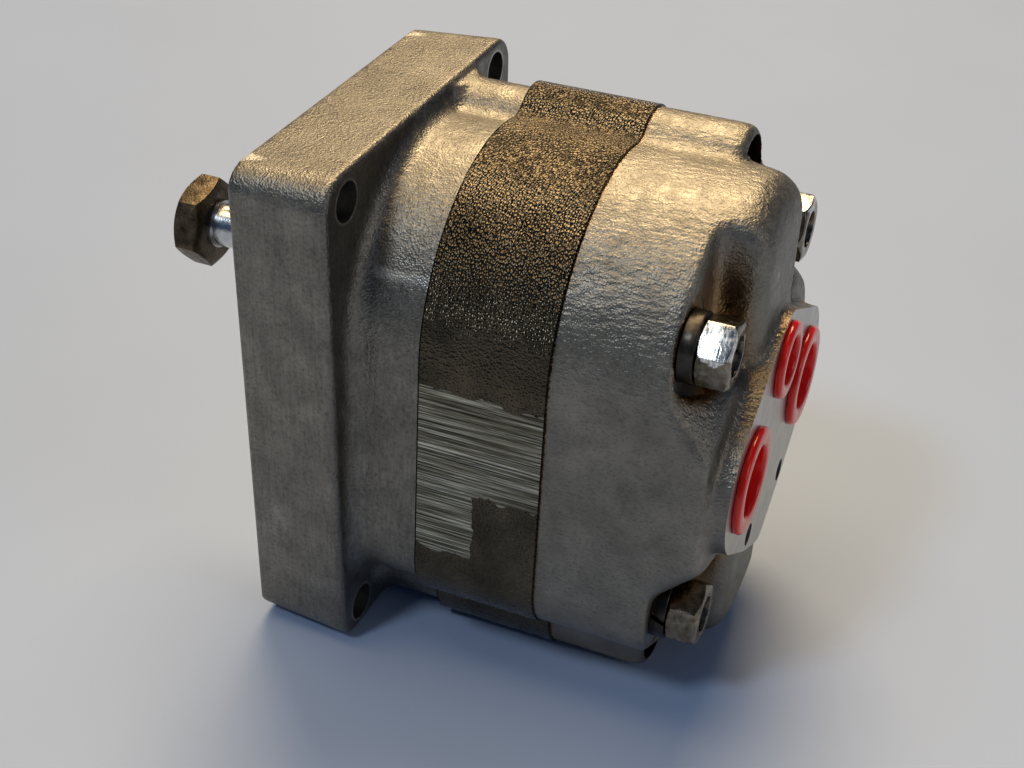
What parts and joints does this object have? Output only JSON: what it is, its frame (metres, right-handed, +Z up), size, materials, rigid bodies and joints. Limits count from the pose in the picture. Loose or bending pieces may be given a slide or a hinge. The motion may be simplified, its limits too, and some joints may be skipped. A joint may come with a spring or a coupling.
{
  "type": "hydraulic gear motor",
  "caption": "Three-section hydraulic gear motor with a rectangular mounting flange, an output shaft, plugged ports on its end cover and stud nuts in corner pockets.",
  "frame": {"origin": "centre of the four flange holes, on the mounting face", "axes": "+X along the motor's axis from the mounting face to the ports, +Z up towards the output shaft"},
  "size_m": [0.1435, 0.0888, 0.1142],
  "materials": {
    "cast_aluminium": "as cast, sandy, a little oily, sanded at the flange's back edge",
    "cover_aluminium": "as cast with wavy wrinkles, oil-stained in the pockets, machined port face",
    "cast_iron": "oiled black-brown casting skin with a hand-ground bright patch",
    "stud_steel": "dark oiled steel",
    "nut_steel": "worn zinc, bright on its near flats",
    "washer_steel": "black spring steel",
    "red_plastic": "glossy soft plastic",
    "ground_steel": "ground",
    "shaft_nut_steel": "dark, rough and worn at the edges",
    "key_steel": "drawn",
    "gear_steel": "hobbed and hardened",
    "bronze": "machined bearing bronze",
    "seal_steel": "pressed steel",
    "seal_rubber": "moulded oil-proof rubber",
    "ring_steel": "phosphated spring steel"
  },
  "bodies": {
    "case": {"front_cover": "cast_aluminium", "gear_housing": "cast_iron", "port_cover": "cover_aluminium", "tie_studs": "stud_steel", "tie_nuts": "nut_steel", "lock_washers": "washer_steel", "front_wear_plate": "bronze", "rear_wear_plate": "bronze", "front_drive_bush": "bronze", "rear_drive_bush": "bronze", "front_idler_bush": "bronze", "rear_idler_bush": "bronze", "seal_case": "seal_steel", "seal_lip": "seal_rubber", "seal_retaining_ring": "ring_steel", "front_section_seal": "seal_rubber", "rear_section_seal": "seal_rubber", "dowel_pins": "ground_steel"},
    "rotor": {"drive_shaft": "ground_steel", "drive_gear": "gear_steel", "drive_gear_key": "key_steel", "output_key": "key_steel", "shaft_nut": "shaft_nut_steel"},
    "idler": {"idler_shaft": "ground_steel", "idler_gear": "gear_steel", "idler_gear_key": "key_steel"},
    "inlet_plug": {"inlet_port_plug": "red_plastic"},
    "outlet_plug": {"outlet_port_plug": "red_plastic"},
    "drain_plug": {"drain_port_plug": "red_plastic"}
  },
  "joints": [
    {"name": "shaft_spin", "type": "hinge", "parent": "case", "child": "rotor", "pos_m": [0, 0, 0.01651], "axis": [1, 0, 0], "continuous": true},
    {"name": "idler_spin", "type": "hinge", "parent": "case", "child": "idler", "pos_m": [0, 0, -0.01651], "axis": [1, 0, 0], "continuous": true},
    {"name": "inlet_plug_pull", "type": "slide", "parent": "case", "child": "inlet_plug", "axis": [1, 0, 0], "range_m": [0, 0.02]},
    {"name": "outlet_plug_pull", "type": "slide", "parent": "case", "child": "outlet_plug", "axis": [1, 0, 0], "range_m": [0, 0.02]},
    {"name": "drain_plug_pull", "type": "slide", "parent": "case", "child": "drain_plug", "axis": [1, 0, 0], "range_m": [0, 0.02]}
  ],
  "couplings": [
    {"joint": "idler_spin", "follows": "shaft_spin", "ratio": -1}
  ]
}
